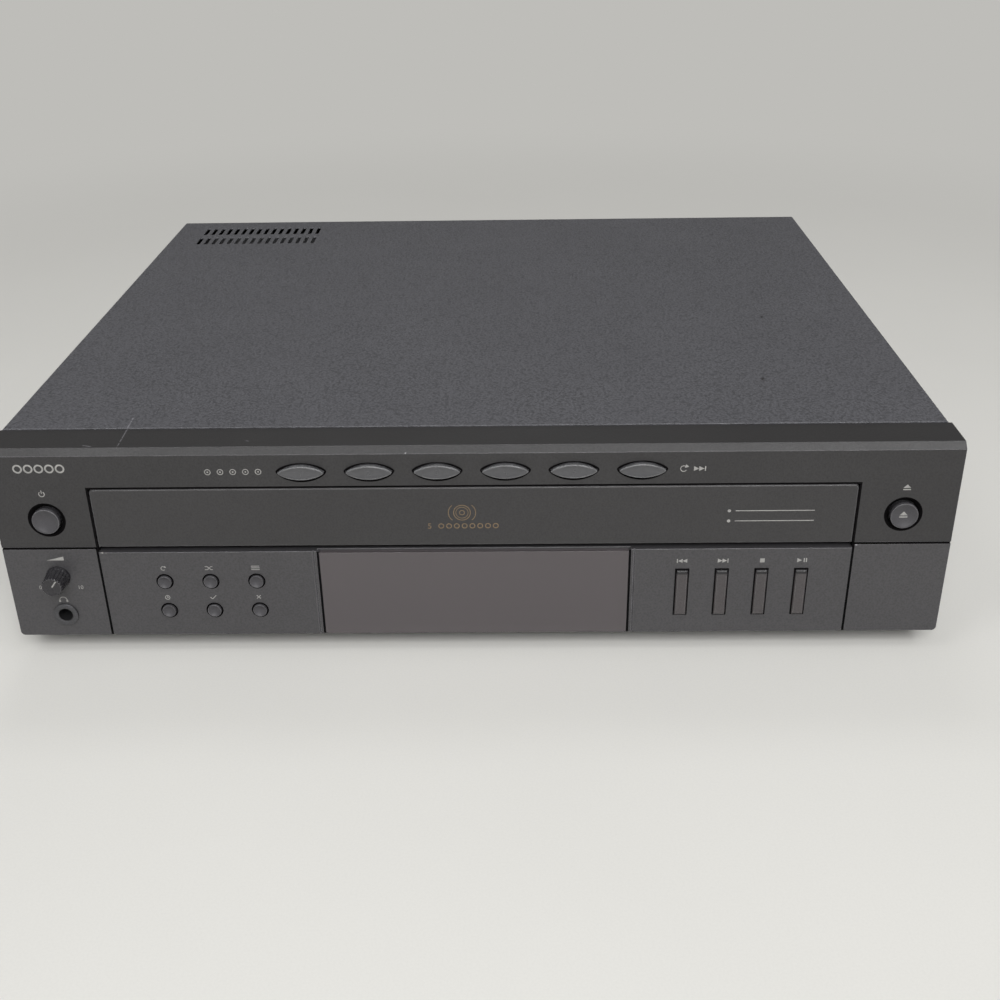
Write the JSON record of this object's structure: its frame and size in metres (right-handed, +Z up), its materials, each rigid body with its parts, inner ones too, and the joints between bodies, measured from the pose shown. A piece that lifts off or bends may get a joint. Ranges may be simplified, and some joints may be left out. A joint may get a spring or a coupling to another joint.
{
  "type": "disc changer",
  "caption": "Component-width carousel compact disc changer with a motorised sliding drawer, sprung buttons, a level knob and a headphone socket.",
  "frame": {"origin": "centre of the whole footprint, on the surface the feet stand on", "axes": "+X to the right seen from the front, +Y towards the back (the front faces -Y), +Z up"},
  "size_m": [0.43, 0.394, 0.1084],
  "materials": {
    "cover_paint": "fine wrinkle paint",
    "bezel_plastic": "matt moulded plastic",
    "door_plastic": "matt moulded plastic",
    "window_plastic": "smooth tinted window",
    "button_plastic": "satin grey plastic",
    "dark_button_plastic": "satin dark plastic",
    "socket_plastic": "black plastic",
    "zinc_steel": "zinc plated",
    "ground_steel": "ground steel",
    "board": "glass fibre board",
    "tube_glass": "display tube",
    "deck_plastic": "black moulded plastic",
    "tray_plastic": "black moulded plastic",
    "carousel_plastic": "dark grey moulded plastic",
    "gear_plastic": "natural acetal",
    "sled_plastic": "black plastic",
    "belt_rubber": "rubber",
    "foot_rubber": "rubber"
  },
  "bodies": {
    "chassis": {"base_pan": "zinc_steel", "top_cover": "cover_paint", "rear_panel": "zinc_steel", "front_frame": "bezel_plastic", "left_end_panel": "bezel_plastic", "right_end_panel": "bezel_plastic", "control_fascia": "bezel_plastic", "display_window": "window_plastic", "display_tube": "tube_glass", "front_board": "board", "headphone_jack": "socket_plastic", "volume_pot": "zinc_steel", "line_out_jacks": "socket_plastic", "cord_gland": "socket_plastic", "main_board": "board", "power_transformer": "zinc_steel", "mechanism_deck": "deck_plastic", "clamp_bridge": "zinc_steel", "loading_motor": "zinc_steel", "loading_belt": "belt_rubber", "foot_front_left": "foot_rubber", "foot_front_right": "foot_rubber", "foot_rear_left": "foot_rubber", "foot_rear_right": "foot_rubber"},
    "tray": {"tray": "tray_plastic", "tray_door": "door_plastic", "carousel_motor": "zinc_steel"},
    "carousel": {"carousel": "carousel_plastic", "carousel_cap": "carousel_plastic"},
    "carousel_pinion": {"carousel_pinion": "gear_plastic"},
    "loading_gear": {"loading_gear": "gear_plastic"},
    "motor_pulley": {"motor_pulley": "gear_plastic"},
    "pickup": {"pickup_chassis": "deck_plastic", "guide_rod_left": "ground_steel", "guide_rod_right": "ground_steel", "spindle_motor": "zinc_steel"},
    "cam_slider": {"cam_slider": "gear_plastic"},
    "spindle": {"spindle_platter": "sled_plastic"},
    "sled": {"pickup_sled": "sled_plastic"},
    "sled_gear": {"sled_gear": "gear_plastic"},
    "clamp_puck": {"clamp_puck": "deck_plastic"},
    "volume_knob": {"volume_knob": "dark_button_plastic"},
    "power_button": {"power_button": "dark_button_plastic"},
    "open_close_button": {"open_close_button": "dark_button_plastic"},
    "disc_1_button": {"disc_1_button": "button_plastic"},
    "disc_2_button": {"disc_2_button": "button_plastic"},
    "disc_3_button": {"disc_3_button": "button_plastic"},
    "disc_4_button": {"disc_4_button": "button_plastic"},
    "disc_5_button": {"disc_5_button": "button_plastic"},
    "disc_skip_button": {"disc_skip_button": "button_plastic"},
    "mode_button_1": {"mode_button_1": "dark_button_plastic"},
    "mode_button_2": {"mode_button_2": "dark_button_plastic"},
    "mode_button_3": {"mode_button_3": "dark_button_plastic"},
    "mode_button_4": {"mode_button_4": "dark_button_plastic"},
    "mode_button_5": {"mode_button_5": "dark_button_plastic"},
    "mode_button_6": {"mode_button_6": "dark_button_plastic"},
    "skip_back_button": {"skip_back_button": "dark_button_plastic"},
    "skip_forward_button": {"skip_forward_button": "dark_button_plastic"},
    "stop_button": {"stop_button": "dark_button_plastic"},
    "play_pause_button": {"play_pause_button": "dark_button_plastic"}
  },
  "joints": [
    {"name": "tray_slide", "type": "slide", "parent": "chassis", "child": "tray", "axis": [0, -1, 0], "range_m": [0, 0.235]},
    {"name": "carousel_spin", "type": "hinge", "parent": "tray", "child": "carousel", "pos_m": [0, -0.012, 0.0685], "axis": [0, 0, 1], "continuous": true},
    {"name": "carousel_pinion_spin", "type": "hinge", "parent": "tray", "child": "carousel_pinion", "pos_m": [0.13081, -0.14281, 0.064], "axis": [0, 0, 1], "continuous": true},
    {"name": "loading_gear_spin", "type": "hinge", "parent": "chassis", "child": "loading_gear", "pos_m": [0.132, -0.142, 0.05], "axis": [0, 0, -1], "range_deg": [0, 1123.04]},
    {"name": "motor_pulley_spin", "type": "hinge", "parent": "chassis", "child": "motor_pulley", "pos_m": [0.088, -0.135, 0.05], "axis": [0, 0, -1], "range_deg": [0, 5052.19]},
    {"name": "pickup_lift", "type": "hinge", "parent": "chassis", "child": "pickup", "pos_m": [0, -0.017, 0.0565], "axis": [1, 0, 0], "range_deg": [0, 10]},
    {"name": "cam_slide", "type": "slide", "parent": "chassis", "child": "cam_slider", "axis": [-1, 0, 0], "range_m": [0, 0.0302]},
    {"name": "spindle_spin", "type": "hinge", "parent": "pickup", "child": "spindle", "pos_m": [0, 0.09368, 0.05648], "axis": [0, 0.1736, 0.9848], "continuous": true},
    {"name": "sled_slide", "type": "slide", "parent": "pickup", "child": "sled", "axis": [0, -0.9848, 0.1736], "range_m": [0, 0.034]},
    {"name": "sled_gear_spin", "type": "hinge", "parent": "pickup", "child": "sled_gear", "pos_m": [0.035, 0.05228, 0.04631], "axis": [0, 0.1736, 0.9848], "range_deg": [0, 271.56]},
    {"name": "clamp_puck_spin", "type": "hinge", "parent": "chassis", "child": "clamp_puck", "pos_m": [0, 0.092, 0.084], "axis": [0, 0, 1], "continuous": true},
    {"name": "volume_turn", "type": "hinge", "parent": "chassis", "child": "volume_knob", "pos_m": [-0.1917, -0.187, 0.044], "axis": [0, 1, 0], "range_deg": [-150, 150]},
    {"name": "power_press", "type": "slide", "parent": "chassis", "child": "power_button", "axis": [0, 1, 0], "range_m": [0, 0.001], "stiffness_N_per_m": 300},
    {"name": "open_close_press", "type": "slide", "parent": "chassis", "child": "open_close_button", "axis": [0, 1, 0], "range_m": [0, 0.001], "stiffness_N_per_m": 300},
    {"name": "disc_1_press", "type": "slide", "parent": "chassis", "child": "disc_1_button", "axis": [0, 1, 0], "range_m": [0, 0.001], "stiffness_N_per_m": 300},
    {"name": "disc_2_press", "type": "slide", "parent": "chassis", "child": "disc_2_button", "axis": [0, 1, 0], "range_m": [0, 0.001], "stiffness_N_per_m": 300},
    {"name": "disc_3_press", "type": "slide", "parent": "chassis", "child": "disc_3_button", "axis": [0, 1, 0], "range_m": [0, 0.001], "stiffness_N_per_m": 300},
    {"name": "disc_4_press", "type": "slide", "parent": "chassis", "child": "disc_4_button", "axis": [0, 1, 0], "range_m": [0, 0.001], "stiffness_N_per_m": 300},
    {"name": "disc_5_press", "type": "slide", "parent": "chassis", "child": "disc_5_button", "axis": [0, 1, 0], "range_m": [0, 0.001], "stiffness_N_per_m": 300},
    {"name": "disc_skip_press", "type": "slide", "parent": "chassis", "child": "disc_skip_button", "axis": [0, 1, 0], "range_m": [0, 0.001], "stiffness_N_per_m": 300},
    {"name": "mode_1_press", "type": "slide", "parent": "chassis", "child": "mode_button_1", "axis": [0, 1, 0], "range_m": [0, 0.001], "stiffness_N_per_m": 300},
    {"name": "mode_2_press", "type": "slide", "parent": "chassis", "child": "mode_button_2", "axis": [0, 1, 0], "range_m": [0, 0.001], "stiffness_N_per_m": 300},
    {"name": "mode_3_press", "type": "slide", "parent": "chassis", "child": "mode_button_3", "axis": [0, 1, 0], "range_m": [0, 0.001], "stiffness_N_per_m": 300},
    {"name": "mode_4_press", "type": "slide", "parent": "chassis", "child": "mode_button_4", "axis": [0, 1, 0], "range_m": [0, 0.001], "stiffness_N_per_m": 300},
    {"name": "mode_5_press", "type": "slide", "parent": "chassis", "child": "mode_button_5", "axis": [0, 1, 0], "range_m": [0, 0.001], "stiffness_N_per_m": 300},
    {"name": "mode_6_press", "type": "slide", "parent": "chassis", "child": "mode_button_6", "axis": [0, 1, 0], "range_m": [0, 0.001], "stiffness_N_per_m": 300},
    {"name": "skip_back_press", "type": "slide", "parent": "chassis", "child": "skip_back_button", "axis": [0, 1, 0], "range_m": [0, 0.001], "stiffness_N_per_m": 300},
    {"name": "skip_forward_press", "type": "slide", "parent": "chassis", "child": "skip_forward_button", "axis": [0, 1, 0], "range_m": [0, 0.001], "stiffness_N_per_m": 300},
    {"name": "stop_press", "type": "slide", "parent": "chassis", "child": "stop_button", "axis": [0, 1, 0], "range_m": [0, 0.001], "stiffness_N_per_m": 300},
    {"name": "play_pause_press", "type": "slide", "parent": "chassis", "child": "play_pause_button", "axis": [0, 1, 0], "range_m": [0, 0.001], "stiffness_N_per_m": 300}
  ],
  "couplings": [
    {"joint": "carousel_pinion_spin", "follows": "carousel_spin", "ratio": -5.1667},
    {"joint": "loading_gear_spin", "follows": "tray_slide", "rad_per_m": 83.333},
    {"joint": "motor_pulley_spin", "follows": "tray_slide", "rad_per_m": 375},
    {"joint": "cam_slide", "follows": "pickup_lift", "m_per_rad": 0.17189},
    {"joint": "sled_gear_spin", "follows": "sled_slide", "rad_per_m": 138.89}
  ]
}
